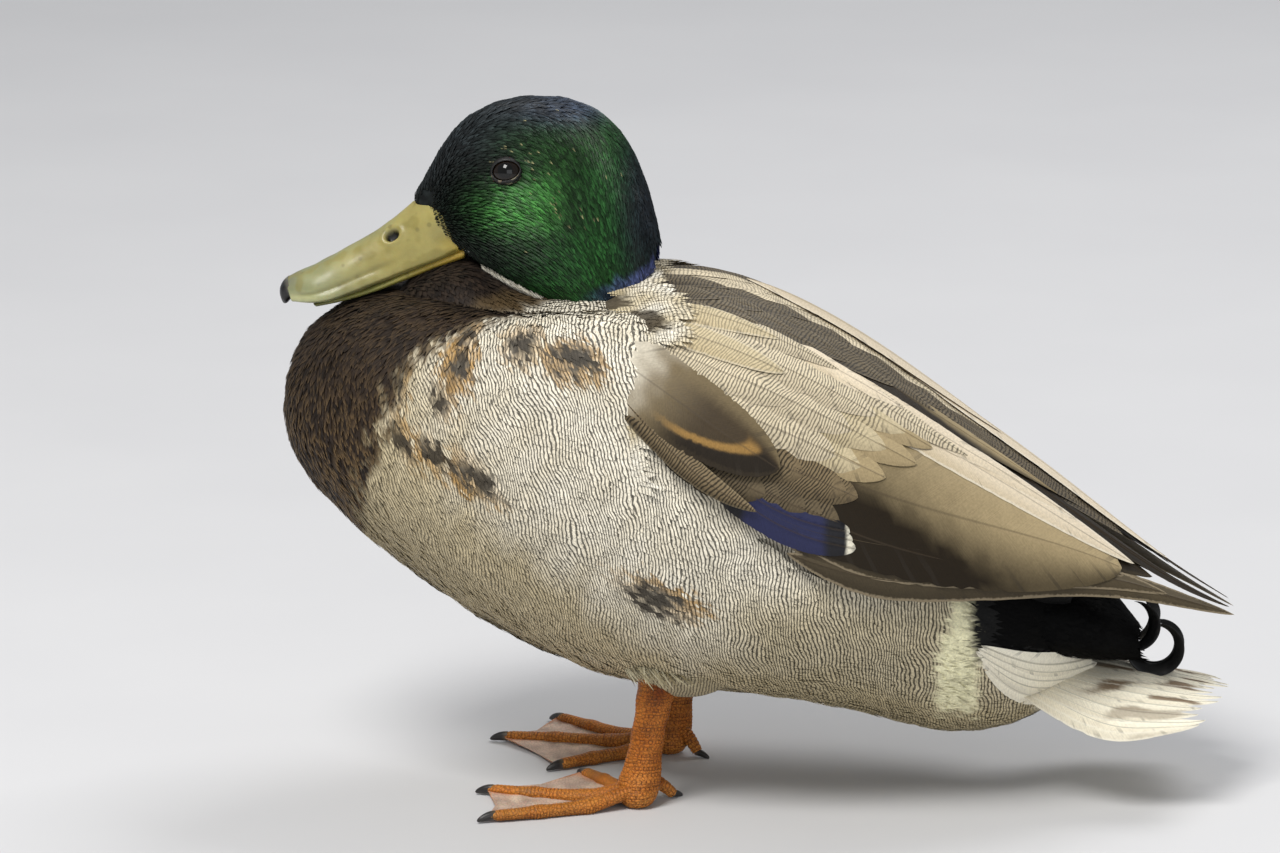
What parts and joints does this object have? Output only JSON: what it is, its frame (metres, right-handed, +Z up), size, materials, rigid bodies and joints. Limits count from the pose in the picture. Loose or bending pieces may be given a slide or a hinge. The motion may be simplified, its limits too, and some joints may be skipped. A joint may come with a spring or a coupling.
{
  "type": "mallard drake (duck)",
  "caption": "Life-size standing mallard drake, head drawn down, wings folded, webbed feet flat: a still museum-style model.",
  "frame": {"origin": "on the floor, below the middle of the bird's bounding box", "axes": "+Z up, bill toward -Y and tail toward +Y, the bird's left side toward +X"},
  "size_m": [0.1494, 0.3296, 0.2397],
  "materials": {
    "green_plumage": "iridescent green feathers",
    "white_plumage": "cream-white feathers",
    "breast_plumage": "brown breast feathers, paler on the flanks",
    "brown_plumage": "brown back feathers",
    "tertial_plumage": "tan long inner wing feathers",
    "speculum_plumage": "violet-blue wing patch",
    "primary_plumage": "grey-brown flight feathers",
    "black_plumage": "black feathers",
    "bill_horn": "olive-yellow horn",
    "dark_horn": "dark grey horn",
    "leg_skin": "orange scaled skin",
    "eye_gloss": "glossy dark brown eye"
  },
  "bodies": {
    "root": {"bill_lower": "bill_horn", "bill_nail": "dark_horn", "bill_upper": "bill_horn", "claw_hind_left": "dark_horn", "claw_hind_right": "dark_horn", "claw_inner_left": "dark_horn", "claw_inner_right": "dark_horn", "claw_middle_left": "dark_horn", "claw_middle_right": "dark_horn", "claw_outer_left": "dark_horn", "claw_outer_right": "dark_horn", "collar": "white_plumage", "curl_front_left": "black_plumage", "curl_front_right": "black_plumage", "curl_rear_left": "black_plumage", "curl_rear_right": "black_plumage", "eye_left": "eye_gloss", "eye_right": "eye_gloss", "foot_left": "leg_skin", "foot_right": "leg_skin", "hallux_left": "leg_skin", "hallux_right": "leg_skin", "head": "green_plumage", "leg_left": "leg_skin", "leg_right": "leg_skin", "mantle": "brown_plumage", "neck": "green_plumage", "primaries_left": "primary_plumage", "primaries_right": "primary_plumage", "rump_coverts": "black_plumage", "scapulars_left": "brown_plumage", "scapulars_right": "brown_plumage", "speculum_left": "speculum_plumage", "speculum_right": "speculum_plumage", "tail": "white_plumage", "tertials_left": "tertial_plumage", "tertials_right": "tertial_plumage", "trunk": "breast_plumage"}
  },
  "joints": []
}
